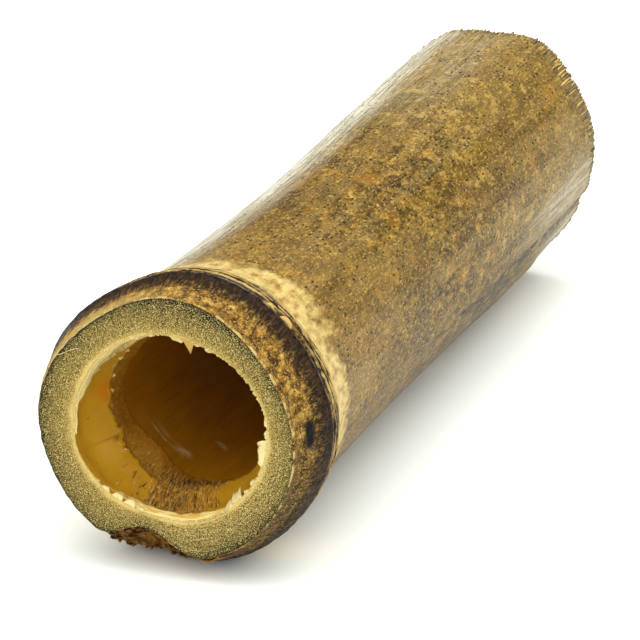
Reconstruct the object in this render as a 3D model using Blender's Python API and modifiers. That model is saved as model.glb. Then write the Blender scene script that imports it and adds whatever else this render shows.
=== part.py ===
"""Bamboo cane: a length of culm sawn off just past a node, lying on its side.

The cane is one grown piece. It is hollow from end to end: a short open stub at the
sawn end, the broken ring of the node's diaphragm, and the long bore of the internode.
Metres, +Z up, resting on z = 0, with the sawn node end towards -Y.
"""
import math

import bpy
from mathutils import Matrix

# Driving dimensions. s is the distance along the cane from the middle of its sawn end.
STEPS = 64                       # facets round the cane

CUT_RADIUS = 0.0380              # outside at the sawn end
RIDGE_RADIUS = 0.0423            # crest of the nodal ridge
RIDGE_AT = 0.0168
GROOVE_RADIUS = 0.0411           # narrow groove close behind the ridge
GROOVE_AT = 0.0186
SCAR_RADIUS = 0.0408             # end of the strip that the fallen sheath left
SCAR_END = 0.0270
WAIST_RADIUS = 0.0371            # thinnest part of the internode
WAIST_AT = 0.1650
FAR_RADIUS = 0.0404              # outside at the far end
FAR_AT = 0.3225                  # far end, measured along the axis

STUB_BORE = 0.0288               # bore in front of the diaphragm
NECK_BORE = 0.0217               # hole through the broken diaphragm
NECK_FRONT = 0.0170
NECK_BACK = 0.0260
LONG_BORE = 0.0279               # bore of the internode
FAR_BORE = 0.0310

NEAR_SLANT = math.radians(3.8)   # the saw cut leans forward on the +X side
FAR_SLANT = math.radians(13.0)   # the far cut leans back at the top
SPARE = 0.012                    # length left beyond each cut before it is sawn
WORN_FLAT = 0.0007               # how much of ridge and rim is worn away underneath

BUD_ANGLE = math.radians(-104.0)            # about the axis, from +X towards +Z
BUD_CENTRE = (0.0425, -0.0060)              # distance from the axis, and s
BUD_HALF_SIZE = (0.0125, 0.0165, 0.0200)    # outwards, round the cane, along it

SMOOTH_ANGLE = math.radians(35.0)

# Stations of the outside and of the bore: (s, radius), eased from one to the next.
OUTSIDE = [
    (-SPARE, CUT_RADIUS),
    (0.0, CUT_RADIUS),
    (0.0100, 0.0402),
    (0.0145, 0.0416),
    (RIDGE_AT, RIDGE_RADIUS),
    (GROOVE_AT, GROOVE_RADIUS),
    (0.0205, 0.0417),
    (SCAR_END, SCAR_RADIUS),
    (0.0320, 0.0398),
    (0.0380, 0.0387),
    (0.0500, 0.0378),
    (WAIST_AT, WAIST_RADIUS),
    (0.2550, 0.0388),
    (FAR_AT + SPARE, FAR_RADIUS),
]
BORE = [
    (-SPARE, STUB_BORE),
    (0.0, STUB_BORE),
    (0.0090, 0.0283),
    (0.0135, 0.0262),
    (NECK_FRONT, 0.0236),
    (NECK_BACK, NECK_BORE),
    (0.0290, 0.0236),
    (0.0340, 0.0272),
    (0.0460, LONG_BORE),
    (WAIST_AT, 0.0283),
    (FAR_AT + SPARE, FAR_BORE),
]
LONG_STRETCH = 0.030             # a stretch longer than this gets points in between


def new_collection(name):
    """Add an empty collection to the scene."""
    collection = bpy.data.collections.new(name)
    bpy.context.scene.collection.children.link(collection)
    return collection


def move_to(obj, collection):
    """Keep an object in one collection only."""
    for owner in list(obj.users_collection):
        owner.objects.unlink(obj)
    collection.objects.link(obj)


def ease(start, end, t):
    """Blend two values with no kink at either."""
    return start + (end - start) * t * t * (3.0 - 2.0 * t)


def outline(stations):
    """Points (s, radius) through the stations, with eased ones on long stretches."""
    points = [stations[0]]
    for (s0, r0), (s1, r1) in zip(stations, stations[1:]):
        parts = max(1, math.ceil((s1 - s0) / LONG_STRETCH))
        for i in range(1, parts + 1):
            t = i / parts
            points.append((s0 + (s1 - s0) * t, ease(r0, r1, t)))
    return points


def bamboo_material():
    """Weathered tan-brown bamboo rind."""
    material = bpy.data.materials.new("bamboo")
    material.use_nodes = True
    shader = material.node_tree.nodes["Principled BSDF"]
    shader.inputs["Base Color"].default_value = (0.30, 0.18, 0.055, 1.0)
    shader.inputs["Roughness"].default_value = 0.42
    shader.inputs["Metallic"].default_value = 0.0
    return material


def turned_culm(collection):
    """The culm's wall: a closed section of outside and bore, turned about local Z."""
    outer = [(radius, 0.0, s) for s, radius in reversed(outline(OUTSIDE))]
    inner = [(radius, 0.0, s) for s, radius in outline(BORE)]
    loop = outer + inner
    edges = [(i, (i + 1) % len(loop)) for i in range(len(loop))]
    mesh = bpy.data.meshes.new("bamboo_cane")
    mesh.from_pydata(loop, edges, [])
    cane = bpy.data.objects.new("bamboo_cane", mesh)
    collection.objects.link(cane)
    screw = cane.modifiers.new("turn", "SCREW")
    screw.axis = "Z"
    screw.angle = 2.0 * math.pi
    screw.steps = STEPS
    screw.render_steps = STEPS
    screw.use_merge_vertices = True
    screw.merge_threshold = 0.0001
    screw.use_smooth_shade = True
    return cane


def lay_down(cane):
    """Put the cane on its ridge and its far rim, along +Y, centred on the origin."""
    far_foot = FAR_AT - FAR_RADIUS * math.tan(FAR_SLANT)
    tilt = math.atan((RIDGE_RADIUS - FAR_RADIUS) / (far_foot - RIDGE_AT))
    front = -CUT_RADIUS * math.tan(NEAR_SLANT)
    back = FAR_AT + FAR_RADIUS * (math.tan(FAR_SLANT) + math.sin(tilt))
    cane.rotation_euler = (-math.pi / 2.0 - tilt, 0.0, 0.0)
    height = RIDGE_RADIUS - WORN_FLAT + RIDGE_AT * math.sin(tilt)
    cane.location = (0.0, -(front + back) / 2.0, height)


def box_cutter(name, size, collection):
    """A cube of the given edge that saws a piece off."""
    bpy.ops.mesh.primitive_cube_add(size=size)
    cutter = bpy.context.object
    cutter.name = name
    move_to(cutter, collection)
    return cutter


def bud_cutter(collection):
    """The hollow that the bud grew in, under the sawn end."""
    bpy.ops.mesh.primitive_uv_sphere_add(segments=32, ring_count=16, radius=1.0)
    cutter = bpy.context.object
    cutter.name = "bud_hollow"
    out, along = BUD_CENTRE
    turn = Matrix.Rotation(-BUD_ANGLE, 4, "Z")
    shift = Matrix.Translation((out, 0.0, along))
    size = Matrix.Diagonal((*BUD_HALF_SIZE, 1.0))
    cutter.data.transform(turn @ shift @ size)
    move_to(cutter, collection)
    return cutter


def saw_off(cane, cutter, parented):
    """Take the cutter's shape away from the cane."""
    if parented:
        cutter.parent = cane
    cutter.hide_render = True
    cutter.display_type = "WIRE"
    cut = cane.modifiers.new(cutter.name, "BOOLEAN")
    cut.operation = "DIFFERENCE"
    cut.solver = "EXACT"
    cut.object = cutter


def build():
    for obj in list(bpy.data.objects):
        bpy.data.objects.remove(obj)
    parts = new_collection("bamboo_cane")
    cutters = new_collection("cutters")

    cane = turned_culm(parts)
    cane.data.materials.append(bamboo_material())
    lay_down(cane)

    block = 0.2
    near_saw = box_cutter("near_saw", block, cutters)
    near_saw.data.transform(Matrix.Translation((0.0, 0.0, -block / 2.0)))
    near_saw.rotation_euler = (0.0, NEAR_SLANT, 0.0)
    saw_off(cane, near_saw, True)

    far_saw = box_cutter("far_saw", block, cutters)
    far_saw.data.transform(Matrix.Translation((0.0, 0.0, block / 2.0)))
    far_saw.location = (0.0, 0.0, FAR_AT)
    far_saw.rotation_euler = (-FAR_SLANT, 0.0, 0.0)
    saw_off(cane, far_saw, True)

    saw_off(cane, bud_cutter(cutters), True)

    ground = box_cutter("worn_flat", 0.5, cutters)
    ground.location = (0.0, 0.0, -0.25)
    saw_off(cane, ground, False)

    cane.data.shade_smooth()
    cane.data.set_sharp_from_angle(angle=SMOOTH_ANGLE)


build()
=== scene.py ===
"""Bamboo cane: the looks of one length of culm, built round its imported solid.

The culm is one mesh, computed ring by ring: out over the rind, round the splintered far
end, back through the bore and the broken diaphragm, and across the sawn face. Torn skin,
splinters and bark fibres are small meshes of their own. Lengths in the shape functions
are in millimetres. s runs along the cane from the middle of its sawn face, and the angle
runs round it, from +X towards up.
"""

import math

import bpy
import numpy as np
from mathutils import Matrix, Vector


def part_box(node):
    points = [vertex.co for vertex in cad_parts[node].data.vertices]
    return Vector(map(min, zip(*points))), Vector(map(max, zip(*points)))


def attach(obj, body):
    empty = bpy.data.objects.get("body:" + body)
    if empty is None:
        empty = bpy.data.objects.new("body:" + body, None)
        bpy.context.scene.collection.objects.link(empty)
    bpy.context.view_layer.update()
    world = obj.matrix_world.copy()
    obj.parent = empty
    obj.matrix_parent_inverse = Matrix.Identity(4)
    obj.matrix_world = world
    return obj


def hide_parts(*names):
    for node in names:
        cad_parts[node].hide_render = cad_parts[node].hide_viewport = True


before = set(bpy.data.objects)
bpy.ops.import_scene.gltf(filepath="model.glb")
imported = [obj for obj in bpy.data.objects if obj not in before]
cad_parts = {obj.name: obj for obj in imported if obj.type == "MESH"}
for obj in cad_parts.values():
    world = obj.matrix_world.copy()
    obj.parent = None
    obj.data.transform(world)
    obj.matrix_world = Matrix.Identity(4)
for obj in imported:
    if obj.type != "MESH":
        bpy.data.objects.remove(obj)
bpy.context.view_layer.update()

MM = 0.001
NODE = "bamboo_cane"
BODY = "root"

# ---- the cane's own frame
CUT_RADIUS = 38.0
RIDGE_AT = 16.8
FAR_AT = 322.5
FAR_RADIUS = 40.4
NEAR_SLANT = math.radians(3.8)
FAR_SLANT = math.radians(13.0)
WORN_FLAT = 0.7  # how far the underside is worn down
RIND_RADIUS = 40.0  # for the grain of the rind, the same all along

low, high = (Vector(corner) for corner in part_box(NODE))
RIDGE_RADIUS = (high.x - low.x) / 2.0 / MM
FAR_FOOT = FAR_AT - FAR_RADIUS * math.tan(FAR_SLANT)
TILT = math.atan((RIDGE_RADIUS - FAR_RADIUS) / (FAR_FOOT - RIDGE_AT))
AXIS_HEIGHT = RIDGE_RADIUS - WORN_FLAT + RIDGE_AT * math.sin(TILT)
NEAR_Y = low.y + CUT_RADIUS * math.tan(NEAR_SLANT) * MM
CANE_FRAME = (
    Matrix.Translation((0.0, NEAR_Y, low.z + AXIS_HEIGHT * MM))
    @ Matrix.Rotation(-TILT, 4, "X")
)


# ---- helpers for shapes
class Noise:
    """Smooth repeatable noise between about -1 and 1."""

    def __init__(self, seed):
        rng = np.random.default_rng(seed)
        self.order = rng.permutation(256)
        slopes = rng.normal(size=(256, 3))
        self.slopes = slopes / np.linalg.norm(slopes, axis=1, keepdims=True)

    def __call__(self, points):
        cell = np.floor(points).astype(int)
        part = points - cell
        soft = part ** 3 * (part * (part * 6.0 - 15.0) + 10.0)
        total = np.zeros(points.shape[:-1])
        for corner in np.ndindex(2, 2, 2):
            at = (cell + corner) & 255
            key = 0
            for axis in range(3):
                key = self.order[(key + at[..., axis]) & 255]
            dot = (self.slopes[key] * (part - corner)).sum(-1)
            weight = np.where(np.array(corner) == 1, soft, 1.0 - soft).prod(-1)
            total += weight * dot
        return total * 1.6

    def fractal(self, points, octaves=3):
        total = 0.0
        for level in range(octaves):
            total = total + self(points * 2.0 ** level + 17.3 * level) * 0.5 ** level
        return total


def smooth(t):
    """0 below 0, 1 above 1, and no kink between."""
    t = np.clip(t, 0.0, 1.0)
    return t * t * (3.0 - 2.0 * t)


def rise(x, start, width):
    """0 before start, 1 from start + width on."""
    return smooth((x - start) / width)


def fall(x, start, width):
    return 1.0 - rise(x, start, width)


def bump(x, centre, half_width):
    """A rounded bump of height 1."""
    return np.exp(-((x - centre) / half_width) ** 2)


def turn_from(angle, degrees):
    """Signed angle in degrees from a given direction round the cane."""
    return (np.degrees(angle) - degrees + 180.0) % 360.0 - 180.0


def round_bump(angle, degrees, half_width):
    return bump(turn_from(angle, degrees), 0.0, half_width)


def waves(angle, terms):
    """Sum of (times round, height, direction in degrees)."""
    return sum(h * np.cos(n * angle - math.radians(d)) for n, h, d in terms)


def curve_through(stations, s):
    """A smooth curve through (s, value) stations that never overshoots them."""
    at = np.array([p[0] for p in stations], float)
    value = np.array([p[1] for p in stations], float)
    slope = np.diff(value) / np.diff(at)
    inner = slope[:-1] * slope[1:]
    steep = np.where(inner > 0.0, 2.0 * inner / (slope[:-1] + slope[1:] + 1e-12), 0.0)
    tangent = np.concatenate(([slope[0]], steep, [slope[-1]]))
    i = np.clip(np.searchsorted(at, s) - 1, 0, len(at) - 2)
    gap = at[i + 1] - at[i]
    t = np.clip((s - at[i]) / gap, 0.0, 1.0)
    blend = t * t * (3.0 - 2.0 * t)
    curl = t * (1.0 - t) * gap * ((1.0 - t) * tangent[i] - t * tangent[i + 1])
    return value[i] * (1.0 - blend) + value[i + 1] * blend + curl


def on_cylinder(s, angle, radius, size_round, size_along):
    """Points for noise of one grain round the cane and another along it."""
    x = radius * np.cos(angle) / size_round
    up = radius * np.sin(angle) / size_round
    return np.stack(np.broadcast_arrays(x, s / size_along, up), axis=-1)


def on_rind(s, angle, size_round, size_along):
    return on_cylinder(s, angle, RIND_RADIUS, size_round, size_along)


def shares(count):
    return np.linspace(0.0, 1.0, count)


def grid(first, second):
    """Two arrays over a grid: one value for each row, and one for each column."""
    return np.meshgrid(first, second, indexing="ij")


# ---- the culm's shape
OUTSIDE = [
    (-2, 37.9), (2.5, 38), (5, 38.9), (10, 40.3), (14.5, 41.6),
    (RIDGE_AT, RIDGE_RADIUS), (17.5, 42), (18.5, 41.1), (19.6, 41.5), (21, 41.7),
    (24, 41.4), (27, 40.8), (32, 39.8), (38, 38.9), (50, 38.3),
    (88, 37.6), (125, 37.2), (150, 37.3), (180, 37.8), (210, 38.5),
    (240, 39.1), (292, 39.9), (340, 40.4),
]
CROOK = [(0, 0), (40, 0), (88, -0.3), (125, -0.7), (165, -0.9),
         (210, -0.6), (240, -0.2), (280, 0.2), (310, 0.9), (340, 1)]
CROOK_TOWARDS = math.radians(130.0)

CUT_SECTION = [(1, 1.3, 126), (3, 0.45, -129), (4, 0.5, -26), (5, 0.2, 77)]
RIDGE_SECTION = [(1, 0.2, -128), (2, 0.2, 165), (3, 0.2, 89), (4, 0.55, -54), (5, 0.25, 44)]
STEM_SECTION = [(2, 0.3, 60), (3, 0.2, 200)]

BUD_AT = -104.0  # direction of the bud hollow, in degrees
BUD_DEPTH = 8.2
NOTCH_DEPTH = 3.2  # how far the bud's scar cuts the ridge down
SCAR_LINES = [(20.2, 0.3), (21.9, 0.24), (23.6, 0.34), (26.9, 0.42)]  # place, depth

STUB_SECTION = [(1, 2.3, 88), (2, 1.2, 15), (4, 0.35, 82)]
STUB_RADIUS = 27.9
LIP_FRONT = 17.0
LIP_BACK = 26.0
LONG_BORE = 27.9
FAR_BORE = 31.0

FAR_REACH = 341.0  # the furthest a splinter of the far end goes
FAR_BREAKS = [  # direction in degrees, and how far past the saw's slant
    (-180, 0), (-60, -1), (-24, -4), (0, -1.5), (32, -4), (45, -3.6),
    (55, -0.6), (64, 1.2), (77, -1.6), (86, -5.4), (96, -3.2), (105, 2.6),
    (117, 8.8), (128, 8.6), (142, 1), (180, 0),
]

FURROW_AT = -10.0  # direction of the long furrow low on the right, in degrees
FURROW_TURN = 0.03  # degrees that it turns under for each millimetre

rough = Noise(3)
fine = Noise(11)
wander = Noise(23)


def beside_furrow(s, angle):
    """Signed angle in degrees from the furrow."""
    return turn_from(angle, FURROW_AT) + FURROW_TURN * s


def bud_hollow(s, angle):
    """Depth of the bud's hollow under the sawn end, and of its notch in the ridge."""
    turn = turn_from(angle, BUD_AT)
    reach = np.where(turn < 0.0, 21.0, 29.0)
    across = fall(np.abs(turn), 2.0, reach)
    notch = NOTCH_DEPTH * round_bump(angle, -98.0, 16.0) * bump(s, 16.5, 4.6)
    return BUD_DEPTH * across * fall(s, 8.0, 7.5) + notch


def outside(s, angle):
    """Radius of the rind."""
    cut = 1.0 - smooth(s / 14.0)
    ridge = smooth(s / 14.0) * fall(s, 22.0, 26.0)
    waist = rise(s, 20.0, 12.0) * fall(s, 36.0, 100.0)
    radius = (
        curve_through(OUTSIDE, s)
        + cut * waves(angle, CUT_SECTION)
        + ridge * waves(angle, RIDGE_SECTION)
        + rise(s, 30.0, 60.0) * waves(angle, STEM_SECTION)
        + 1.8 * round_bump(angle, -126.0, 11.0) * bump(s, 17.0, 5.0)
        - 0.3 * round_bump(angle, 110.0, 9.0) * bump(s, 17.0, 2.6)
        - 0.7 * round_bump(angle, -80.0, 12.0) * (1.0 - smooth(s / 10.0))
        - 1.3 * waist * round_bump(angle, 138.0, 42.0)
        - bud_hollow(s, angle)
    )
    return radius + rind_relief(s, angle)


def rind_relief(s, angle):
    """Fine relief of the rind: collar, scar lines, furrow, lifted skin, fibres and bark."""
    collar = rise(s, 0.5, 2.0) * fall(s, 14.0, 2.0)
    relief = (
        0.22 * collar * rough.fractal(on_rind(s, angle, 3.2, 3.2))
        + 0.18 * fine(on_rind(s, angle, 0.55, 6.0)) * bump(s, 12.6, 2.6)
        + 0.18 * bump(s, RIDGE_AT, 1.4) * rough(on_rind(s, angle, 2.5, 9.0))
    )
    drift = 0.9 * wander(on_rind(s, angle, 14.0, 60.0))
    for line, depth in SCAR_LINES:
        torn = 0.6 + 0.6 * wander(on_rind(s + line * 3.0, angle, 5.0, 9.0))
        relief = relief - depth * np.clip(torn, 0.0, 1.2) * bump(s + drift, line, 0.34)
    furrow = rise(s, 165.0, 90.0)
    beside = beside_furrow(s, angle)
    lifted = 0.6 * rise(s, 205.0, 30.0) * fall(s, 250.0, 5.0)
    lifted = lifted + 0.8 * rise(s, 256.0, 12.0) * fall(s, 272.0, 5.0)
    stem = rise(s, 27.0, 8.0)
    bark = smooth(bud_hollow(s, angle) / 3.0)
    return (
        relief
        - 0.8 * furrow * bump(beside, 0.0, 2.4)
        + 0.4 * furrow * bump(beside, 7.0, 4.0)
        - 0.35 * rise(s, 60.0, 60.0) * round_bump(angle, 104.0, 3.5)
        + lifted * round_bump(angle, -45.0, 13.0)
        + 0.1 * stem * rough(on_rind(s, angle, 3.0, 70.0))
        + 0.16 * stem * rough(on_rind(s, angle, 14.0, 30.0))
        + 0.35 * bark * rough.fractal(on_cylinder(s, angle, 34.0, 1.6, 2.4))
    )


def stub(angle):
    """Radius of the bore where the culm is sawn through."""
    return STUB_RADIUS + waves(angle, STUB_SECTION)


def lip_front(angle):
    """Radius of the broken diaphragm's hole on the stub's side."""
    return (
        23.5 + 2.7 * np.cos(angle - math.radians(125.0))
        - 3.0 * round_bump(angle, -165.0, 35.0)
        + 3.2 * round_bump(angle, -18.0, 40.0)
        - 1.5 * round_bump(angle, -95.0, 40.0)
    )


def lip_back(angle):
    """Radius of the same hole on the long bore's side."""
    return (
        22.8 + 1.2 * np.cos(angle - math.radians(100.0))
        + 1.8 * round_bump(angle, -18.0, 40.0)
        - 5.0 * round_bump(angle, -137.0, 30.0)
    )


def skin_edge(angle):
    """Where the smooth skin of the stub is torn off, measured along the cane."""
    ring = on_cylinder(0.0, angle, 24.0, 4.5, 1.0)
    edge = LIP_FRONT - 0.6 + 1.5 * wander(ring) + 0.7 * fine(ring * 4.0)
    return edge - 3.5 * round_bump(angle, -100.0, 24.0)


def inside(s, angle):
    """Radius of the bore, from the stub through the broken diaphragm."""
    rim = stub(angle)
    front, back = lip_front(angle), lip_back(angle)
    funnel = rim + (front - rim) * rise(s, 5.0, 13.0) ** 1.2
    neck = front + (back - front) * rise(s, LIP_FRONT, LIP_BACK - LIP_FRONT)
    bore = LONG_BORE + (FAR_BORE - LONG_BORE) * rise(s, 180.0, 150.0)
    edge = skin_edge(angle)
    broken = rise(s, edge, 1.5) * fall(s, 25.0, 3.0)
    lumps = rough.fractal(on_cylinder(s, angle, 26.0, 6.0, 7.0), 2)
    near = fall(s, 30.0, 20.0)
    return (
        np.where(s < LIP_FRONT, funnel, neck)
        + (bore - back) * rise(s, LIP_BACK, 9.0)
        - 0.75 * fall(s, edge, 0.7) * smooth(s / 4.0)
        + 0.3 * broken * fine(on_cylinder(s, angle, 24.0, 0.7, 2.4))
        + (0.12 + 0.2 * near * smooth(s / 3.0)) * lumps
    )


def near_face(angle, radius):
    """How far forward the saw cut lies at a place across it."""
    return -math.tan(NEAR_SLANT) * (radius * np.cos(angle))


def far_face(angle, radius, ragged):
    """Where the far end was sawn: slanted, broken off unevenly at the rind and torn there."""
    s = FAR_AT + math.tan(FAR_SLANT) * (radius * np.sin(angle))
    s = s + curve_through(FAR_BREAKS, turn_from(angle, 0.0)) * rise(radius, 27.0, 9.0)
    ring = on_cylinder(0.0, angle, radius, 2.2, 1.0)
    torn = 0.6 * wander(ring) + np.abs(fine(ring * 3.1))
    return np.minimum(s + ragged * torn, FAR_REACH)


# ---- rings of the culm
FINE, MIDDLE, COARSE = 448, 224, 112
COLLAR, STEM, FAR_FACE, BORE, STUB, SAWN = range(6)
SCAR_GAP = 18.4  # where the collar's colours end and the stem's begin
STEM_FROM = 52.4  # from here the rings lean towards the far end's shape
BORE_FROM = 46.0  # the same in the bore


def angles(count):
    return np.arange(count) * (2.0 * math.pi / count) - math.pi


def spaced(*stretches):
    """Values from (start, stop, step) stretches, without the last stop."""
    return np.concatenate([np.arange(*stretch) for stretch in stretches])


def culm_rings():
    """Every ring as (zone, angle, s, radius), in order round the wall's section."""
    rings = []

    def near_s(t, angle, radius):
        return t + near_face(angle, radius) * fall(t, 0.0, 12.0)

    for t in spaced((0.25, 1.2, 0.35), (1.3, 13.7, 0.85), (13.8, 27.8, 0.38), (28.0, 52.0, 2.0)):
        angle = angles(FINE)
        s = near_s(t, angle, CUT_RADIUS)
        radius = outside(s, angle)
        if t < 0.3:
            radius = radius - 0.25
        rings.append((COLLAR if t < SCAR_GAP else STEM, angle, s, radius))

    for u in np.concatenate((np.linspace(0.0, 0.93, 76), np.linspace(0.94, 1.0, 15))):
        angle = angles(FINE if u > 0.935 else MIDDLE)
        end = far_face(angle, FAR_RADIUS, 1.0)
        s = STEM_FROM + (end - STEM_FROM) * u
        rings.append((STEM, angle, s, outside(s, angle)))

    angle = angles(FINE)
    outer = outside(far_face(angle, FAR_RADIUS, 1.0), angle)
    inner = inside(FAR_AT, angle)
    for share in (0.05, 0.2, 0.4, 0.6, 0.8, 0.95, 1.0):
        radius = outer + (inner - outer) * share
        ragged = 1.0 - 0.7 * smooth(share * 2.0)
        rings.append((FAR_FACE, angle, far_face(angle, radius, ragged) - 0.3, radius))

    steps = ((0.995, 0.98, 0.95, 0.9), np.linspace(0.86, 0.18, 20), np.linspace(0.17, 0.0, 36))
    for u in np.concatenate(steps):
        angle = angles(FINE if u > 0.87 else MIDDLE if u > 0.84 or u < 0.175 else COARSE)
        end = far_face(angle, FAR_BORE, 0.3 if u > 0.87 else 0.0)
        s = BORE_FROM + (end - BORE_FROM) * u
        rings.append((BORE, angle, s, inside(s, angle)))

    angle = angles(FINE)
    for t in spaced((0.6, 11.9, 1.0), (12.0, 27.2, 0.58), (27.4, 45.0, 2.2))[::-1]:
        s = near_s(t, angle, STUB_RADIUS)
        rings.append((STUB if t < 33.0 else BORE, angle, s, inside(s, angle)))

    rim_in = inside(near_s(0.3, angle, STUB_RADIUS), angle)
    rim_in = rim_in - 0.5 * np.abs(fine(on_cylinder(0.0, angle, 28.0, 1.1, 1.0)))
    rim_out = outside(near_s(0.3, angle, CUT_RADIUS), angle) - 0.3
    for share in (0.0, 0.02, 0.08, 0.18, 0.3, 0.42, 0.54, 0.66, 0.78, 0.88, 0.93, 0.95, 0.97, 1.0):
        radius = rim_in + (rim_out - rim_in) * share
        s = near_face(angle, radius)
        grain = fine(on_cylinder(s, angle, radius, 0.9, 1.0))
        s = s + 0.05 * grain + 0.25 * (share == 0.0)
        crack = smooth(round_bump(angle, 137.0, 24.0) * 2.0 - 0.5) * (share == 0.95)
        rings.append((SAWN, angle, s + 0.7 * crack, radius))
    return rings


def place(angle, s, radius):
    """World points, in metres, of places on the cane, kept above the ground."""
    crook = curve_through(CROOK, s)
    x = radius * np.cos(angle) + crook * math.cos(CROOK_TOWARDS)
    up = radius * np.sin(angle) + crook * math.sin(CROOK_TOWARDS)
    ground = (s * math.sin(TILT) - AXIS_HEIGHT) / math.cos(TILT)
    local = np.stack((x, s + 0.0 * x, np.maximum(up, ground + 0.02)), axis=-1) * MM
    return local @ np.array(CANE_FRAME.to_3x3()).T + np.array(CANE_FRAME.translation)


def strip(first, second, n_first, n_second):
    """Faces between two rings, which may differ twofold in points."""
    if n_first == n_second:
        pairs = [(j, (j + 1) % n_first) for j in range(n_first)]
        return [(first + j, first + k, second + k, second + j) for j, k in pairs]
    faces = []
    many, few, n_few = first, second, n_second
    flip = n_first < n_second
    if flip:
        many, few, n_few = second, first, n_first
    for j in range(n_few):
        a, b, c = many + 2 * j, many + 2 * j + 1, many + (2 * j + 2) % (2 * n_few)
        d, e = few + j, few + (j + 1) % n_few
        for face in ((a, b, d), (b, e, d), (b, c, e)):
            faces.append(face[::-1] if flip else face)
    return faces


def add_object(name, data):
    made = bpy.data.objects.new(name, data)
    bpy.context.scene.collection.objects.link(made)
    return made


def mesh_object(name, points, faces, materials):
    """A smooth-shaded mesh that rides on the part."""
    mesh = bpy.data.meshes.new(name)
    mesh.from_pydata([tuple(p) for p in points], [], faces)
    for material in materials:
        mesh.materials.append(material)
    mesh.shade_smooth()
    mesh.update()
    piece = add_object(name, mesh)
    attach(piece, BODY)
    return piece


def store(piece, name, values):
    """Keep one number per point, for the materials to read."""
    layer = piece.data.attributes.new(name, "FLOAT", "POINT")
    layer.data.foreach_set("value", np.asarray(values, dtype=np.float32))


def culm(materials):
    rings = culm_rings()
    starts, points = [], []
    total = 0
    for _, angle, s, radius in rings:
        starts.append(total)
        points.append(place(angle, s, radius))
        total += len(angle)
    faces, zones = [], []
    for i, ring in enumerate(rings):
        after = (i + 1) % len(rings)
        made = strip(starts[i], starts[after], len(ring[1]), len(rings[after][1]))
        faces += made
        zones += [rings[after][0]] * len(made)
    piece = mesh_object("culm", np.concatenate(points), faces, materials)
    piece.data.polygons.foreach_set("material_index", zones)
    angle, s, radius = (np.concatenate([ring[i] for ring in rings]) for i in (1, 2, 3))
    paint_masks(piece, s, angle, radius)
    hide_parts(NODE)


def paint_masks(piece, s, angle, radius):
    """Where each kind of surface lies, for the materials."""

    def about(degrees, half_width):
        return round_bump(angle, degrees, half_width)

    face = near_face(angle, radius)
    cut = s - face
    rim_in, rim_out = stub(angle), outside(face + 0.3, angle)
    flank = rise(turn_from(angle, 97.0), 0.0, 25.0) * fall(turn_from(angle, 126.0), 0.0, 24.0)
    beside = beside_furrow(s, angle)
    lumpy = bump(beside, -8.0, 10.0) * bump(s, 218.0, 58.0)
    past_band = rise(s, 30.0, 20.0)
    turn = turn_from(angle, -108.0)
    # painted highlights: pale streaks and a thin line on the bore's wall past the diaphragm, where
    # glossy ridges would catch the light
    glint_line = bump(s + 0.48 * turn, 75.0, 1.0) * about(-123.0, 15.0)
    painted_glints = (
        about(-137.0, 13.0) * (bump(s, 51.0, 0.9) + 0.7 * bump(s, 54.5, 1.0))
        + about(-121.0, 5.0) * bump(s, 53.0, 2.6)
        + about(-108.0, 4.5) * bump(s + 0.3 * turn, 69.0, 2.4)
        + 0.5 * glint_line
    )
    dirt = about(198.0, 0.8) * bump(s, 14.0, 4.5) * 0.6 + about(200.0, 1.8) * bump(s, 14.6, 0.9)
    # painted shade: a dark pit on the collar's right, with no hollow built under it
    pit_shade = about(4.0, 7.5) * bump(s - 0.1 * turn_from(angle, 4.0), 6.6, 2.7)
    masks = {
        "along": s,
        "cut": cut,
        "wall": (radius - rim_in) / (rim_out - rim_in),
        "torn": smooth((s - skin_edge(angle)) / 0.9 + 0.5),
        "hollow": smooth(bud_hollow(s, angle) / 1.5),
        "pale": 0.8 * about(132.0, 30.0) * fall(s, 4.0, 4.0),
        "stripped": about(-93.0, 28.0) * rise(cut, 3.0, 3.0),
        "layered": (about(-82.0, 34.0) + 0.7 * about(-30.0, 40.0)) * fall(radius, 31.5, 4.0),
        "shaded": (
            about(66.0, 40.0) + 0.5 * about(-52.0, 22.0)
            + 0.4 * about(178.0, 34.0) - 0.5 * about(-8.0, 26.0)
        ),
        "lining": (
            about(112.0, 22.0) * fall(cut, 12.0, 6.0)
            + 0.8 * about(140.0, 34.0) * fall(cut, 2.0, 6.0)
            + about(-84.0, 44.0) * fall(cut, 3.2, 3.0)
        ),
        # painted sheen: a pale band along the upper left, a faint one on top, and pale bands low on the
        # right towards the far end, for the white floor and walls mirrored at a grazing angle
        "painted_sheen": (
            flank * rise(s, 22.0, 14.0)
            + 0.2 * about(90.0, 14.0) * rise(s, 180.0, 90.0)
            + 0.45 * about(-5.0, 9.0) * rise(s, 210.0, 70.0)
            + 0.7 * about(-30.0, 7.0) * rise(s, 250.0, 40.0)
        ),
        "dull": about(-30.0, 30.0),
        "furrow": np.clip(bump(beside, 0.0, 1.7) * rise(s, 90.0, 60.0) + lumpy, 0.0, 1.0),
        # painted shade: a dark line along the outline low on the right, fading towards the far end, and
        # a fainter one along the upper left outline, for the floor's shadow mirrored in the rind
        "edge_shade_line": (
            about(-46.0, 10.0) * past_band * (1.0 - 0.8 * rise(s, 230.0, 40.0))
            + 0.45 * about(140.0, 6.0) * past_band
        ),
        "east": CUT_RADIUS * np.cos(angle),
        "up": CUT_RADIUS * np.sin(angle),
        "glint_mask": np.clip(painted_glints, 0.0, 1.0),
        "dirt": np.clip(dirt, 0.0, 1.0),
        "stained": about(165.0, 7.0) * bump(s, 14.0, 2.4),
        "pit_shade": smooth(pit_shade * 3.0 - 1.0),
    }
    for name, values in masks.items():
        store(piece, name, values)


# ---- node helpers
PAINT_DEPTH = 0.7  # the studio is bright enough to burn the floor out to white
LINING_DEPTH = 0.86
BORE_DEPTH = 0.95


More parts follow.
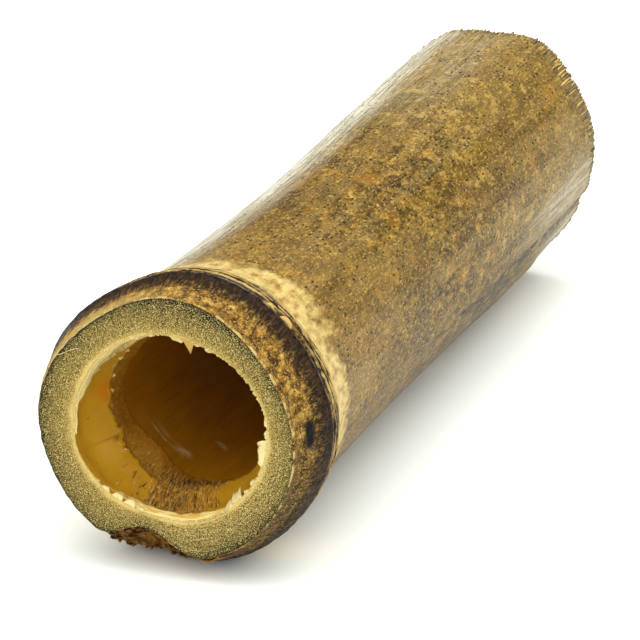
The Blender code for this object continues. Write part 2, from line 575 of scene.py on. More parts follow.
def srgb(*colour):
    """A colour given the way paint charts give it, as the shader wants it."""
    return tuple(((c / 255.0 + 0.055) / 1.055) ** 2.4 if c > 10 else c / 3294.6 for c in colour)


class Paint:
    """Builds one material. Its methods hand back sockets; grains are in millimetres."""

    def __init__(self, name):
        self.material = bpy.data.materials.new(name)
        self.material.use_nodes = True
        self.tree = self.material.node_tree
        self.shader = self.tree.nodes["Principled BSDF"]
        self.place = self.tree.nodes.new("ShaderNodeTexCoord").outputs["Object"]

    def feed(self, socket, value):
        if isinstance(value, bpy.types.NodeSocket):
            self.tree.links.new(value, socket)
        elif isinstance(value, tuple) and len(value) == 3 and socket.type == "RGBA":
            socket.default_value = (*value, 1.0)
        else:
            socket.default_value = value

    def node(self, kind, inputs, **settings):
        made = self.tree.nodes.new(kind)
        for key, value in settings.items():
            setattr(made, key, value)
        for key, value in inputs.items():
            self.feed(made.inputs[key], value)
        return made

    def mask(self, name):
        return self.node("ShaderNodeAttribute", {}, attribute_name=name).outputs["Fac"]

    def math(self, operation, first, second=0.0, third=0.0):
        inputs = {0: first, 1: second, 2: third}
        return self.node("ShaderNodeMath", inputs, operation=operation).outputs[0]

    def add(self, first, second):
        return self.math("ADD", first, second)

    def times(self, *factors):
        product = factors[0]
        for factor in factors[1:]:
            product = self.math("MULTIPLY", product, factor)
        return product

    def scale(self, value, factor, shift):
        return self.math("MULTIPLY_ADD", value, factor, shift)

    def step(self, value, start, end):
        """0 at start, 1 at end, eased; start may be above end."""
        limits = {"Value": value, "From Min": start, "From Max": end}
        return self.node("ShaderNodeMapRange", limits, interpolation_type="SMOOTHSTEP").outputs[0]

    def grain(self, size, along, shift):
        """The place to read a texture at, for a grain of this size, longer along the cane."""
        across = 1.0 / (size * MM)
        inputs = {
            "Vector": self.place, "Scale": (across, across / along, across),
            "Location": (shift, shift * 1.7, -shift),
        }
        return self.node("ShaderNodeMapping", inputs).outputs[0]

    def noise(self, size, along=1.0, detail=2, shift=0.0):
        inputs = {"Vector": self.grain(size, along, shift), "Scale": 1.0, "Detail": detail}
        return self.node("ShaderNodeTexNoise", inputs).outputs["Fac"]

    def spots(self, start, end, *grain):
        """Where a noise of this grain passes from start to end."""
        return self.step(self.noise(*grain), start, end)

    def cells(self, size, along=1.0, shift=0.0, feature="F1"):
        inputs = {"Vector": self.grain(size, along, shift), "Scale": 1.0}
        return self.node("ShaderNodeTexVoronoi", inputs, feature=feature).outputs

    def dots(self, size, along=1.0, shift=0.0, smallest=0.08, largest=0.26):
        """Scattered dots of uneven size."""
        cell = self.cells(size, along, shift)
        dice = self.node("ShaderNodeSeparateColor", {"Color": cell["Color"]}).outputs[0]
        edge = self.scale(dice, largest - smallest, smallest)
        return self.step(self.math("SUBTRACT", edge, cell["Distance"]), -0.06, 0.06)

    def blend(self, share, first, second, mode="MIX"):
        inputs = {0: share, 6: first, 7: second}
        return self.node("ShaderNodeMix", inputs, data_type="RGBA", blend_type=mode).outputs[2]

    def mix(self, share, first, second):
        """Blend two paint-chart colours."""
        return self.blend(share, srgb(*first), srgb(*second))

    def lay(self, under, over, *factors):
        """Lay a paint-chart colour over another, by the product of the factors."""
        return self.blend(self.times(*factors), under, srgb(*over))

    def ramp(self, value, *stops):
        """Stops are (place, red, green, blue), as paint charts give them."""
        made = self.node("ShaderNodeValToRGB", {"Fac": value})
        elements = made.color_ramp.elements
        while len(elements) < len(stops):
            elements.new(0.5)
        for element, (at, *colour) in zip(elements, stops):
            element.position = at
            element.color = (*srgb(*colour), 1.0)
        return made.outputs["Color"]

    def shade(self, colour, value, depth):
        """Lighten and darken a colour by a noise around one half."""
        limits = {"Value": value, "To Min": 1.0 - depth, "To Max": 1.0 + depth}
        grey = self.node("ShaderNodeMapRange", limits).outputs[0]
        tint = self.node("ShaderNodeCombineColor", {0: grey, 1: grey, 2: grey}).outputs[0]
        return self.blend(1.0, colour, tint, "MULTIPLY")

    def finish(self, colour, roughness, height, depth=PAINT_DEPTH, specular=0.5, glow=0.0):
        """Height is in millimetres; depth darkens every paint of the material alike."""
        colour = self.blend(1.0, colour, (depth, depth, depth), "MULTIPLY")
        bump_node = self.node("ShaderNodeBump", {"Height": height, "Distance": MM, "Strength": 1.0})
        inputs = {
            "Base Color": colour, "Roughness": roughness, "Normal": bump_node.outputs[0],
            "Specular IOR Level": specular, "Emission Color": (1.0, 1.0, 1.0), "Emission Strength": glow,
        }
        for key, value in inputs.items():
            self.feed(self.shader.inputs[key], value)
        return self.material


# ---- materials
def collar():
    """The stub's skin: pale crumbly edge, cracked amber rind, dark combed ridge with a painted highlight
    along its crest, bark.
    """
    p = Paint("collar")
    along = p.mask("along")
    frayed = p.scale(p.noise(2.2, 1.6, 4, 3), 7.0, -3.5)
    dark = p.mix(p.spots(0.4, 0.64, 1.5, 2.5, 6, 51), (22, 13, 5), (68, 43, 17))
    amber = p.ramp(
        p.noise(2.4, 1.3, 6, 53),
        (0.35, 76, 48, 12), (0.45, 134, 94, 30), (0.54, 180, 132, 48),
        (0.63, 216, 172, 76), (0.72, 250, 218, 126),
    )
    amber = p.lay(amber, (76, 56, 24), p.mask("dull"), 0.85)
    cracks = p.cells(1.7, 1.3, 55, "DISTANCE_TO_EDGE")["Distance"]
    amber = p.lay(amber, (64, 36, 12), p.step(cracks, 0.12, 0.0), 0.5)
    grains = p.spots(0.54, 0.66, 0.55, 1.3, 2, 58)
    amber = p.lay(amber, (252, 216, 130), grains, 0.5)
    pits = p.dots(1.1, 1.0, 57, 0.0, 0.32)
    amber = p.lay(amber, (30, 18, 8), pits, 0.85)
    amber = p.lay(amber, (214, 184, 108), p.mask("pale"))
    creases = p.spots(0.45, 0.55, 0.7, 9.0, 1, 59)
    combed = p.times(p.step(along, 7.5, 10.0), p.step(along, 16.0, 14.0))
    colour = p.blend(p.step(p.add(along, frayed), 14.0, 8.0), dark, amber)
    colour = p.lay(colour, (120, 88, 46), combed, 0.25)
    colour = p.lay(colour, (26, 15, 8), combed, creases, 0.8)
    crumbs = p.step(p.add(p.mask("cut"), p.times(frayed, 0.8)), 1.0, 0.3)
    kept = p.spots(0.42, 0.56, 3.0, 1.0, 4, 63)
    colour = p.lay(colour, (238, 210, 134), crumbs, kept, 0.85)
    # painted highlight: a broken pale grey line along the ridge's crest
    crest = p.times(p.step(along, 16.3, 16.6), p.step(along, 17.3, 17.0))
    wear_and_highlight = p.times(crest, p.spots(0.46, 0.6, 4.0, 1.0, 4, 61))
    colour = p.lay(colour, (158, 144, 118), wear_and_highlight, 0.8)
    # painted shade: a near-black pit on the collar's right, with no hollow built
    colour = p.lay(colour, (20, 18, 20), p.mask("pit_shade"))
    bark = p.ramp(
        p.noise(1.3, 2.0, 4, 9),
        (0.38, 84, 56, 18), (0.52, 146, 98, 36), (0.66, 192, 136, 58),
    )
    colour = p.blend(p.times(p.mask("hollow"), p.step(p.mask("cut"), 0.35, 0.7)), colour, bark)
    gloss = p.scale(p.step(along, 9.0, 15.0), -0.18, 0.56)
    roughness = p.scale(p.noise(1.5, 1.5, 3, 1), 0.3, p.add(gloss, -0.15))
    comb = p.times(creases, p.step(along, 6.0, 11.0), -0.32)
    grit = p.times(p.noise(0.8, 1.0, 4, 6), p.scale(p.step(along, 17.0, 12.0), 0.8, 0.2))
    height = p.add(comb, p.add(grit, p.times(cracks, 0.35)))
    return p.finish(colour, roughness, height, specular=0.08)


def stem():
    """The internode's skin: sheath scar, pale band, then mottled and peppered brown, with painted sheen
    and painted shade along its outlines.
    """
    p = Paint("stem")
    along = p.mask("along")
    drift = p.scale(p.noise(16.0, 1.3, 3), 34.0, -17.0)
    frayed = p.scale(p.noise(2.4, 2.6, 4, 3), 18.0, -9.0)
    colour = stem_colour(p)
    band = p.step(p.add(along, p.add(drift, frayed)), 46.0, 37.0)
    colour = p.blend(p.times(band, 0.92), colour, band_colour(p))
    scar = p.step(p.add(along, p.times(frayed, 0.06)), 27.2, 26.0)
    colour = p.blend(scar, colour, scar_colour(p))
    colour = p.shade(colour, p.noise(0.45, 20.0, 2, 5), 0.25)
    roughness = p.scale(p.noise(1.5, 6.0, 3, 1), 0.25, 0.26)
    fibres = p.times(p.noise(0.5, 20.0, 2, 2), 0.14)
    grit = p.times(p.noise(0.8, 3.0, 4, 6), p.scale(p.step(along, 32.0, 24.0), 0.5, 0.26))
    return p.finish(colour, roughness, p.add(fibres, grit), specular=0.07)


def stem_colour(p):
    mottled = p.scale(p.noise(5.0, 2.2, 3, 8), 0.8, p.noise(1.3, 2.6, 5, 14))
    tan = p.ramp(
        p.times(mottled, 0.556),
        (0.37, 52, 36, 8), (0.44, 90, 66, 16), (0.51, 123, 92, 25),
        (0.59, 154, 118, 40), (0.68, 216, 178, 82),
    )
    tan = p.lay(tan, (180, 140, 68), p.step(p.mask("along"), 140.0, 50.0), 0.38)
    tan = p.lay(tan, (172, 140, 64), p.step(p.mask("along"), 150.0, 290.0), 0.4)
    clouds = p.spots(0.44, 0.6, 26.0, 2.0, 3, 8)
    tan = p.lay(tan, (94, 68, 24), clouds, 0.52)
    smears = p.spots(0.46, 0.64, 4.0, 22.0, 3, 27)
    tan = p.lay(tan, (178, 148, 86), smears, 0.3)
    stain = p.spots(0.58, 0.72, 9.0, 2.4, 4, 12)
    tan = p.lay(tan, (196, 130, 22), stain, 0.35)
    patches = p.spots(0.54, 0.68, 4.2, 1.5, 5, 28)
    tan = p.lay(tan, (230, 186, 92), patches, p.step(p.mask("along"), 110.0, 200.0), 0.5)
    grime = p.spots(0.52, 0.66, 0.6, 2.6, 2, 24)
    tan = p.lay(tan, (56, 40, 10), grime, 0.35)
    flecks = p.spots(0.54, 0.68, 0.6, 2.8, 2, 16)
    tan = p.lay(tan, (240, 204, 108), flecks, 0.45)
    # painted sheen: pale silvery streaks laid along the upper left and the lower right of the rind
    sheen_streaks = p.spots(0.4, 0.6, 1.0, 26.0, 3, 17)
    sheen_colour = p.mix(sheen_streaks, (182, 170, 132), (252, 247, 222))
    tan = p.blend(p.times(p.mask("painted_sheen"), 0.92), tan, sheen_colour)
    # painted shade: dark lines along the rind's outlines, low on the right and at the upper left
    tan = p.lay(tan, (44, 34, 14), p.mask("edge_shade_line"), 0.85)
    # dark streaks along the furrow: fissures, and painted shade in its groove
    groove_shade_and_fissures = p.spots(0.4, 0.56, 1.0, 7.0, 4, 25)
    tan = p.lay(tan, (36, 28, 12), p.mask("furrow"), groove_shade_and_fissures, 0.95)
    pepper = p.times(p.dots(1.3, 2.2, 21, 0.1, 0.32), p.spots(0.34, 0.5, 10.0, 2.4, 2, 22))
    return p.lay(tan, (24, 14, 4), pepper, 0.9)


def band_colour(p):
    cream = p.ramp(
        p.noise(2.6, 2.4, 5, 31),
        (0.34, 176, 138, 66), (0.44, 222, 186, 106), (0.6, 250, 222, 138),
    )
    specks = p.times(p.dots(1.5, 0.8, 33), p.spots(0.48, 0.56, 5.0, 1.0, 2, 34))
    return p.lay(cream, (30, 20, 8), specks, 0.9)


def scar_colour(p):
    layers = p.ramp(
        p.noise(14.0, 0.05, 3, 41),
        (0.38, 16, 10, 4), (0.46, 86, 54, 18), (0.52, 164, 112, 46),
        (0.58, 60, 36, 12), (0.66, 222, 176, 92),
    )
    return p.shade(layers, p.noise(0.8, 1.0, 4, 43), 0.9)


def sawn():
    """End grain: dark bundles in pale pith, denser and darker towards the rind."""
    p = Paint("sawn_face")
    wall = p.mask("wall")
    patch = p.scale(p.noise(7.0, 1.0, 3, 3), 0.4, -0.2)
    base = p.ramp(
        p.add(wall, p.add(patch, p.times(p.mask("shaded"), 0.14))),
        (0.03, 234, 204, 120), (0.14, 194, 162, 82), (0.42, 164, 140, 68),
        (0.76, 134, 115, 56), (0.92, 84, 76, 38), (0.99, 34, 32, 16),
    )
    layers = p.node("ShaderNodeCombineXYZ", {0: p.times(wall, 24.0)}).outputs[0]
    rings = p.node("ShaderNodeTexNoise", {"Vector": layers, "Scale": 1.0, "Detail": 2.0}).outputs["Fac"]
    rays = p.node("ShaderNodeCombineXYZ", {0: p.mask("east"), 1: p.mask("up")}).outputs[0]
    ray = p.node("ShaderNodeTexNoise", {"Vector": rays, "Scale": 1.6, "Detail": 1.0}).outputs["Fac"]
    outermost = p.times(p.step(wall, 0.45, 0.95), p.mask("shaded"))
    base = p.lay(base, (44, 40, 20), outermost, p.step(ray, 0.46, 0.6), 0.55)
    banded = p.times(p.mask("layered"), p.step(rings, 0.5, 0.62))
    base = p.lay(base, (236, 208, 134), banded, 0.7)
    grained = p.step(wall, 0.02, 0.22)
    bundles = p.dots(0.62, 1.0, 5, 0.14, 0.46)
    colour = p.lay(base, (56, 42, 14), bundles, grained, 0.6)
    salt = p.times(p.spots(0.5, 0.64, 0.27, 1.0, 1, 7), p.step(wall, 1.08, 0.84))
    colour = p.lay(colour, (252, 226, 146), salt, 0.8)
    pepper = p.spots(0.49, 0.62, 0.27, 1.0, 1, 11)
    colour = p.lay(colour, (34, 26, 8), pepper, grained, 0.8)
    height = p.add(p.times(p.noise(0.28, 1.0, 1, 7), 0.4), p.times(bundles, -0.12))
    return p.finish(colour, 0.85, height, specular=0.1)


def stub_lining():
    """Amber skin of the stub, torn off round the diaphragm to show brown fibres."""
    p = Paint("stub_lining")
    amber = p.mix(p.noise(7.0, 0.8, 2, 2), (164, 118, 18), (184, 138, 34))
    folded = p.spots(0.42, 0.58, 5.0, 0.12, 3, 15)
    folds = p.mix(folded, (228, 188, 88), (255, 240, 166))
    torn_off = p.scale(p.noise(3.0, 0.6, 4, 16), 1.0, -0.5)
    amber = p.blend(p.step(p.add(p.mask("lining"), torn_off), 0.25, 0.6), amber, folds)
    specks = p.times(p.dots(2.6, 1.0, 4, 0.0, 0.2), p.spots(0.5, 0.6, 9.0, 1.0, 2, 5))
    amber = p.lay(amber, (84, 54, 14), specks, 0.6)
    amber = p.lay(amber, (190, 106, 12), p.mask("stained"), 0.7)
    amber = p.lay(amber, (92, 60, 14), p.mask("dirt"), 0.8)
    bare = p.mix(p.noise(1.4, 4.0, 4, 6), (108, 68, 8), (202, 150, 52))
    strokes = p.spots(0.51, 0.6, 0.6, 4.0, 2, 8)
    bare = p.lay(bare, (80, 44, 10), strokes, p.mask("stripped"), 0.8)
    dim = p.times(p.step(p.mask("along"), 16.0, 24.0), p.scale(p.mask("stripped"), -0.5, 1.0))
    streaked = p.mix(p.noise(1.2, 0.15, 2, 18), (112, 76, 8), (152, 104, 18))
    bare = p.blend(p.times(dim, 0.85), bare, streaked)
    bare = p.lay(bare, (160, 106, 20), p.step(p.mask("along"), 19.0, 25.0), 0.8)
    ragged = p.scale(p.noise(2.4, 2.0, 5, 12), 1.6, -0.8)
    stripped = p.step(p.add(p.mask("stripped"), ragged), 0.35, 0.6)
    colour = p.blend(p.math("MAXIMUM", p.mask("torn"), stripped), amber, bare)
    roughness = p.scale(p.mask("torn"), 0.3, 0.36)
    furred = p.scale(p.math("MAXIMUM", p.mask("torn"), p.mask("stripped")), 0.4, 0.02)
    height = p.times(p.noise(0.6, 3.0, 3, 8), furred)
    return p.finish(colour, roughness, height, LINING_DEPTH, specular=0.15)


def bore():
    """Dark glossy skin inside the long internode, with pale streaks near the diaphragm that are painted
    highlights.
    """
    p = Paint("bore_skin")
    colour = p.mix(p.noise(6.0, 5.0, 3, 2), (184, 124, 8), (216, 158, 30))
    colour = p.shade(colour, p.noise(0.8, 20.0, 2, 4), 0.2)
    # painted highlights: pale streaks near the diaphragm
    painted_glints = p.times(p.spots(0.38, 0.62, 4.0, 0.3, 4, 14), p.step(p.mask("glint_mask"), 0.1, 0.8))
    colour = p.lay(colour, (250, 222, 158), painted_glints, 0.85)
    height = p.times(p.noise(1.6, 9.0, 3, 6), 0.25)
    roughness = p.scale(p.noise(3.0, 3.0, 2, 8), 0.3, 0.35)
    return p.finish(colour, roughness, height, BORE_DEPTH, specular=0.06)


def far_face_wood():
    """The rough far cut."""
    p = Paint("far_face")
    colour = p.mix(p.noise(0.7, 4.0, 4, 2), (150, 118, 66), (226, 196, 132))
    dark = p.step(p.mask("wall"), 0.8, 1.0)
    colour = p.lay(colour, (92, 70, 36), dark, 0.7)
    bundles = p.dots(0.7, 1.0, 5, 0.1, 0.4)
    colour = p.lay(colour, (90, 66, 28), bundles, 0.6)
    return p.finish(colour, 0.85, p.times(p.noise(0.5, 2.0, 3, 3), 0.4))


def shred(name, light, dark, roughness):
    """Torn skin, splinters and bark, each strip with its own tone."""
    p = Paint(name)
    tone = p.add(p.mask("tone"), p.scale(p.noise(0.7, 3.0, 3), 0.7, -0.35))
    colour = p.mix(tone, light, dark)
    height = p.times(p.noise(0.4, 3.0, 2, 2), 0.12)
    return p.finish(colour, roughness, height, specular=0.3)


# ---- torn skin and splinters
class Heap:
    """Many small closed plates gathered in one mesh."""

    def __init__(self):
        self.points, self.faces, self.tones = [], [], []

    def plate(self, angle, s, radius, thickness, tone):
        """A thin plate over a grid of places; its underside lies further from the axis."""
        rows, columns = angle.shape
        base = len(self.tones)
        for side in (radius, radius + thickness):
            self.points.append(place(angle, s, side).reshape(-1, 3))
        self.tones += list(np.broadcast_to(tone, (2, rows, columns)).ravel())
        under = base + rows * columns
        for i, j in np.ndindex(rows - 1, columns - 1):
            a = i * columns + j
            quad = (a, a + 1, a + columns + 1, a + columns)
            self.faces.append(tuple(base + k for k in quad))
            self.faces.append(tuple(under + k for k in quad[::-1]))
        edge = list(range(columns - 1))
        edge += [i * columns + columns - 1 for i in range(rows - 1)]
        edge += [(rows - 1) * columns + j for j in range(columns - 1, 0, -1)]
        edge += [i * columns for i in range(rows - 1, 0, -1)]
        for a, b in zip(edge, edge[1:] + edge[:1]):
            self.faces.append((base + b, base + a, under + a, under + b))

    def strand(self, angle, s, radius, half_width, tone):
        """A hair of square section through a line of places."""
        count = len(angle)
        base = len(self.tones)
        turn = half_width / radius
        for across, deep in ((-1, -1), (1, -1), (1, 1), (-1, 1)):
            self.points.append(place(angle + across * turn, s + deep * half_width, radius))
        self.tones += [tone] * (4 * count)
        for side in range(4):
            first, second = base + side * count, base + (side + 1) % 4 * count
            for i in range(count - 1):
                self.faces.append((first + i, first + i + 1, second + i + 1, second + i))
        self.faces.append(tuple(base + side * count for side in range(4)))
        self.faces.append(tuple(base + side * count + count - 1 for side in (3, 2, 1, 0)))

    def build(self, name, *looks):
        piece = mesh_object(name, np.concatenate(self.points), self.faces, [shred(*looks)])
        store(piece, "tone", self.tones)


def rim_flakes():
    """Waxy shreds and teeth of pith skin that the saw left on the stub's rim."""
    heap = Heap()
    rng = np.random.default_rng(41)
    flakes = [  # direction, width, length inwards, length into the stub, tone
        (77.5, 4.2, 4.4, 0.6, 1.0), (-3.5, 8.6, 2.8, 1.2, 0.0), (1.5, 4.2, 3.6, 1.6, 0.0),
        (8.0, 3.0, 1.4, 0.4, 0.05), (-22.0, 3.0, 1.3, 0.8, 0.2), (-30.0, 2.2, 1.2, 1.0, 0.2),
        (-39.0, 5.8, 2.6, 5.0, 0.0), (-46.0, 3.6, 1.8, 3.6, 0.05), (-119.0, 4.6, 2.0, 1.9, 0.0),
        (-128.0, 4.4, 1.8, 1.6, 0.0), (-111.0, 3.0, 1.2, 1.6, 0.1), (-137.0, 4.0, 1.3, 1.1, 0.05),
        (-144.0, 3.4, 1.0, 1.0, 0.1), (102.0, 3.4, 0.8, 1.0, 0.2), (74.0, 4.0, 1.2, 0.4, 0.6),
        (84.0, 5.0, 1.6, 0.4, 0.5), (64.0, 2.0, 0.8, 0.3, 0.3),
    ]
    for limits in (  # of the same five, for small flakes on the right and on the left
        ((-60.0, 120.0), (0.7, 2.4), (0.3, 1.0), (0.1, 0.6), (0.1, 0.6)),
        ((120.0, 300.0), (0.8, 3.0), (0.2, 0.6), (0.2, 1.2), (0.0, 0.4)),
    ):
        flakes += [tuple(rng.uniform(*pair) for pair in limits) for _ in range(90)]
    for degrees, width, inwards, deeper, tone in flakes:
        across = np.linspace(-1.0, 1.0, 21 if inwards > 1.0 else 9)
        u, v = grid(across, shares(6))
        pointed = inwards > 4.0
        outline = 1.0 - np.abs(u) if pointed else np.sqrt(1.0 - np.abs(u) ** 3)
        uneven = 0.05 if pointed else 0.2 + 0.3 * (width > 5.0)
        jagged = 1.0 + uneven * fine(np.stack((u * 2.3, v * 0.0 + degrees, u * 0.0), axis=-1))
        reach = v * outline * jagged
        skew = 0.05 * reach if pointed else 0.0
        angle = math.radians(degrees) + u * (1.0 - 0.15 * v) * width / 2.0 / STUB_RADIUS - skew
        curl = rough(np.stack((u * 0.9, v * 0.9 + degrees, u * 0.0 + 5.0), axis=-1))
        radius = stub(angle) + 0.3 - inwards * reach + 0.25 * curl
        s = near_face(angle, radius) + 0.1 + deeper * reach ** 1.5 + 0.5 * curl * v
        heap.plate(angle, s, radius, 0.25 + 0.5 * (1.0 - v) * outline, tone)
    v = shares(12)
    for start, end, outer, inner in ((149.0, 141.0, 38.6, 34.6), (150.0, 138.0, 38.8, 37.4)):
        angle = np.radians(start + (end - start) * v) + 0.02 * np.sin(v * 5.0)
        radius = outer + (inner - outer) * v ** 1.3
        s = near_face(angle, radius) - 0.2 - 0.5 * np.sin(v * math.pi)
        heap.strand(angle, s, radius, 0.11, 0.0)
    heap.build("rim_flakes", "waxy_skin", (246, 228, 160), (196, 156, 66), 0.45)


def torn_lining():
    """Loose skin of the stub: a pale flap at the upper left, and the torn edge's curl."""
    heap = Heap()
    for start, end, first, last, tone in (
        (98.0, 170.0, 0.5, 4.5, 0.0), (108.0, 156.0, 0.6, 8.0, 0.12), (116.0, 146.0, 4.0, 12.0, 0.3),
        (160.0, 186.0, 0.3, 1.7, 0.2),
    ):
        turn = np.radians(np.linspace(start, end, int((end - start) * 3)))
        angle, v = grid(turn, shares(7))
        ring = on_cylinder(last, angle, 24.0, 2.4, 1.0)
        ragged = 0.75 + 0.45 * wander(ring) + 0.25 * fine(ring * 3.3)
        ends = smooth((angle - turn[0]) * 6.0) * smooth((turn[-1] - angle) * 6.0)
        s = near_face(angle, 28.0) + first + (last - first) * v * ragged * (0.15 + 0.85 * ends)
        lift = 0.25 + 0.45 * v ** 2 * (1.0 + 0.6 * wander(ring * 0.6))
        heap.plate(angle, s, inside(s, angle) - lift, 0.2, tone)
    turn = np.radians(np.linspace(96.0, 236.0, 420))
    angle, v = grid(turn, shares(6))
    ring = on_cylinder(7.0, angle, 24.0, 1.6, 1.0)
    edge = skin_edge(angle)
    s = edge - 1.6 + v * (1.6 + 1.1 * fine(ring))
    curl = np.clip(0.25 + 1.3 * wander(ring * 0.7), 0.0, 1.5)
    radius = inside(edge - 1.6, angle) - 0.02 - 0.9 * curl * v ** 1.5
    tone = np.clip(0.75 - 0.7 * curl + 0.3 * fine(ring * 2.0), 0.0, 1.0)
    heap.plate(angle, s, radius, 0.28 - 0.1 * v, tone)
    heap.build("torn_lining", "pale_lining", (250, 226, 150), (164, 110, 30), 0.45)


def diaphragm_fibres():
    """Broken fibres of the diaphragm, lying along the floor of the neck."""
    heap = Heap()
    rng = np.random.default_rng(5)
    draw = rng.uniform
    for _ in range(420):
        degrees = rng.normal(-95.0, 16.0)
        s_from = draw(5.0, 22.0)
        length = draw(0.8, 2.6)
        width = draw(0.1, 0.26)
        v, u = grid(shares(4), (-1.0, 1.0))
        lean = draw(-0.25, 0.25)
        angle = math.radians(degrees) + (u * width * (1.0 - 0.8 * v) + lean * length * v) / 24.0
        s = s_from + length * v
        proud = 0.05 + draw(0.1, 0.7) * v ** 2
        heap.plate(angle, s, inside(s, angle) - proud, 0.12, draw(0.0, 1.0))
    heap.build("diaphragm_fibres", "broken_fibres", (222, 170, 84), (58, 32, 8), 0.6)


def far_splinters():
    """Fibres that the saw pulled out round the far end."""
    heap = Heap()
    rng = np.random.default_rng(17)
    draw = rng.uniform
    for _ in range(900):
        turn = draw(-math.pi, math.pi)
        if rng.random() < 0.35:
            turn = math.radians(rng.normal(42.0, 20.0))
        golden = float(round_bump(turn, 38.0, 26.0))
        end = far_face(np.array(turn), FAR_RADIUS, 1.0)
        back = draw(1.0, 3.0) + (2.0 + 11.0 * golden) * rng.random() ** 3
        ahead = draw(-0.8, 1.9)
        width = draw(0.1, 0.38)
        v, u = grid(shares(5), (-1.0, 1.0))
        s = np.minimum(end - back + (back + ahead) * v, FAR_REACH)
        angle = turn + u * width * (1.0 - 0.8 * v ** 2) * np.minimum(1.0, 0.2 + 4.0 * v) / FAR_RADIUS
        lift = 0.06 + draw(0.0, 0.4) * v ** 2
        flat = np.minimum(s, end - 0.2)
        tone = 0.08 if rng.random() < 0.04 + 0.16 * golden else draw(0.5, 1.0)
        heap.plate(angle, s, outside(flat, angle) + lift - 0.3, 0.3, tone)
    heap.build("far_splinters", "splinters", (244, 202, 104), (52, 34, 12), 0.5)


def bark_fibres():
    """Coarse bark left in the bud's hollow and along the sheath's edge under it."""
    heap = Heap()
    rng = np.random.default_rng(29)
    draw = rng.uniform
    for _ in range(80):
        degrees = draw(-121.0, -86.0)
        s_from = draw(4.0, 17.0)
        v, u = grid(shares(5), (-1.0, 0.0, 1.0))
        length = draw(0.8, 2.6)
        width = draw(0.4, 1.6)
        lean = draw(-0.8, 0.8)
        angle = math.radians(degrees) + (u * width * (1.0 - 0.7 * v) + lean * v) / 40.0
        s = np.maximum(s_from - length * v, 0.2)
        proud = draw(-0.1, 0.25) * v ** 1.4
        tone = draw(0.0, 1.0) ** 0.5
        heap.plate(angle, s, outside(s_from, angle) + proud - 0.35, 0.35, tone)
    for start, end, front, drop, tone in ((-78.0, -67.0, 1.0, 1.3, 0.25), (-71.0, -58.0, 2.2, 0.9, 0.9)):
        turn = np.radians(np.linspace(start, end, 15))
        angle, v = grid(turn, shares(6))
        middle = 1.0 - ((angle - turn.mean()) / (turn[-1] - turn[0]) * 2.0) ** 2
        frayed = 0.8 * fine(on_rind(0.0, angle, 1.4, 1.0))
        s = front + frayed * (1.0 - v) + (9.0 - front) * v
        lift = drop * np.clip(middle, 0.0, 1.0) * (1.0 - v) ** 1.5
        heap.plate(angle, s, outside(s, angle) + lift - 0.2, 0.3, tone)
    heap.build("bark_fibres", "bark", (186, 128, 54), (84, 56, 18), 0.7)


def sheath_scar():
    """Ragged layers left where the culm sheath was shed, just behind the ridge."""
    heap = Heap()
    layers = (  # start, end, lift, tone
        (18.9, 20.4, 0.2, 1.0), (20.2, 21.4, 0.3, 0.45), (21.3, 22.4, 0.3, 0.95),
        (22.2, 23.6, 0.25, 0.15), (23.5, 24.4, 0.24, 0.85), (24.2, 25.6, 0.2, 0.3),
        (25.5, 27.0, 0.14, 0.1),
    )
    turn = np.linspace(-math.pi, math.pi, 800)
    angle, v = grid(turn, shares(4))
    for first, last, lift, tone in layers:
        ring = on_cylinder(first * 3.0, angle, 41.0, 2.2, 1.0)
        slow = on_cylinder(first, angle, 41.0, 13.0, 1.0)
        front = first + 0.7 * wander(slow) + 0.3 * fine(ring * 2.0)
        back = last + 0.9 * wander(slow * 1.3 + 4.0) + 0.5 * fine(ring) + 0.35 * fine(ring * 3.0)
        s = front + (np.maximum(back, front + 0.3) - front) * v
        height = lift * (1.0 + 1.4 * wander(ring * 0.5)) * (1.0 - 0.6 * v)
        wear_and_highlight = np.clip(tone + 0.7 * wander(slow * 2.0 + 9.0) + 0.5 * fine(ring * 1.8), 0.0, 1.0)
        heap.plate(angle, s, outside(s, angle) + np.maximum(height, 0.03), -0.3, wear_and_highlight)
    for middle, half_turn, first, last in ((47.0, 3.2, 18.6, 20.2), (55.5, 1.8, 18.7, 19.8)):
        u, v = grid(np.linspace(-1.0, 1.0, 13), shares(4))
        angle = np.radians(middle + half_turn * u)
        s = first + (last - first) * v * np.sqrt(np.maximum(1.0 - u ** 2, 0.02))
        heap.plate(angle, s, outside(s, angle) + 0.75 - 0.4 * u ** 2, -0.5, -0.5)
    heap.build("sheath_scar", "sheath_layers", (222, 184, 98), (24, 15, 6), 0.5)


# ---- floor, light, camera
KEY_WATTS = 4.2
FRONT_WATTS = 1.26
SKY_LOW = 0.17
SKY_HIGH = 2.1
FLOOR_SIZE = 30.0
FLOOR_GLOW = 0.03
LENS = 225.0
LOOK_DOWN = 17.74  # degrees below level
LOOK_LEFT = 17.858  # degrees to the left of straight along the cane


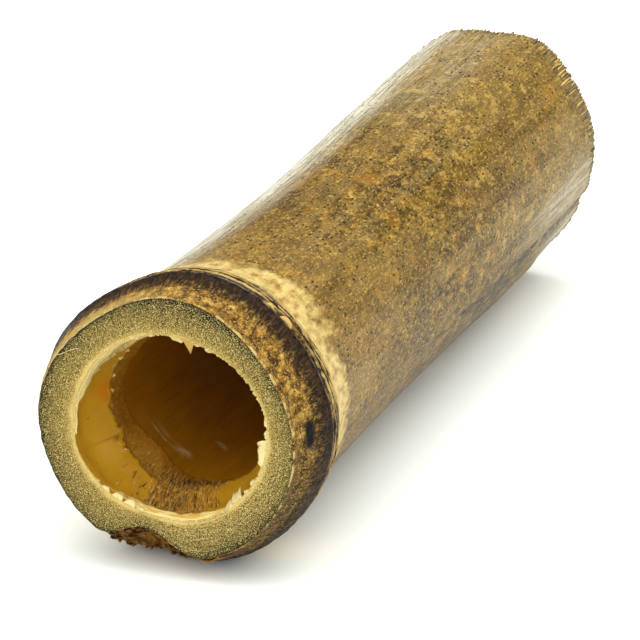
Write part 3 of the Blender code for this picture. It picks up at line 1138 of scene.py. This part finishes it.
def studio():
    bpy.ops.mesh.primitive_plane_add(size=FLOOR_SIZE)
    floor = bpy.context.object
    floor.name = "floor"
    p = Paint("floor")
    paper = p.blend(p.noise(60.0, 1.0, 2), (0.89, 0.92, 0.87), (0.91, 0.94, 0.89))
    floor.data.materials.append(p.finish(paper, 0.9, 0.0, 1.0, glow=FLOOR_GLOW))
    sky()
    softbox("key", (0.3, 0.75, 0.95), 1.0, KEY_WATTS)
    softbox("front", (0.5, -1.3, 0.9), 0.5, FRONT_WATTS)


def sky():
    """Bright overhead and in front, dim low down behind, so the rind keeps its colour."""
    world = bpy.data.worlds.new("studio")
    bpy.context.scene.world = world
    world.use_nodes = True
    nodes, links = world.node_tree.nodes, world.node_tree.links
    direction = nodes.new("ShaderNodeTexCoord").outputs["Generated"]
    tip = nodes.new("ShaderNodeVectorMath")
    tip.operation = "DOT_PRODUCT"
    tip.inputs[1].default_value = (0.0, -0.35, 1.0)
    links.new(direction, tip.inputs[0])
    fade = nodes.new("ShaderNodeMapRange")
    fade.interpolation_type = "SMOOTHSTEP"
    limits = {"From Min": 0.2, "From Max": 0.7, "To Min": SKY_LOW, "To Max": SKY_HIGH}
    for name, value in limits.items():
        fade.inputs[name].default_value = value
    links.new(tip.outputs["Value"], fade.inputs["Value"])
    links.new(fade.outputs[0], nodes["Background"].inputs["Strength"])
    nodes["Background"].inputs["Color"].default_value = (1.0, 1.0, 1.0, 1.0)


def softbox(name, spot, size, watts):
    """A square lamp that faces the cane."""
    data = bpy.data.lights.new(name, "AREA")
    data.size = size
    data.energy = watts
    light = add_object(name, data)
    light.location = spot
    light.rotation_euler = (-Vector(spot)).to_track_quat("-Z", "Y").to_euler()


def camera():
    """Long lens, looking down along the cane on its sawn end."""
    data = bpy.data.cameras.new("camera")
    data.sensor_width = 36.0
    data.lens = LENS
    view = add_object("camera", data)
    view.location = (0.358, NEAR_Y - 0.9747, 0.4073)
    view.rotation_euler = (math.radians(90.0 - LOOK_DOWN), 0.0, math.radians(LOOK_LEFT))
    bpy.context.scene.camera = view


camera()
studio()
culm([collar(), stem(), far_face_wood(), bore(), stub_lining(), sawn()])
rim_flakes()
torn_lining()
diaphragm_fibres()
far_splinters()
bark_fibres()
sheath_scar()
bpy.context.scene.view_settings.view_transform = "Standard"
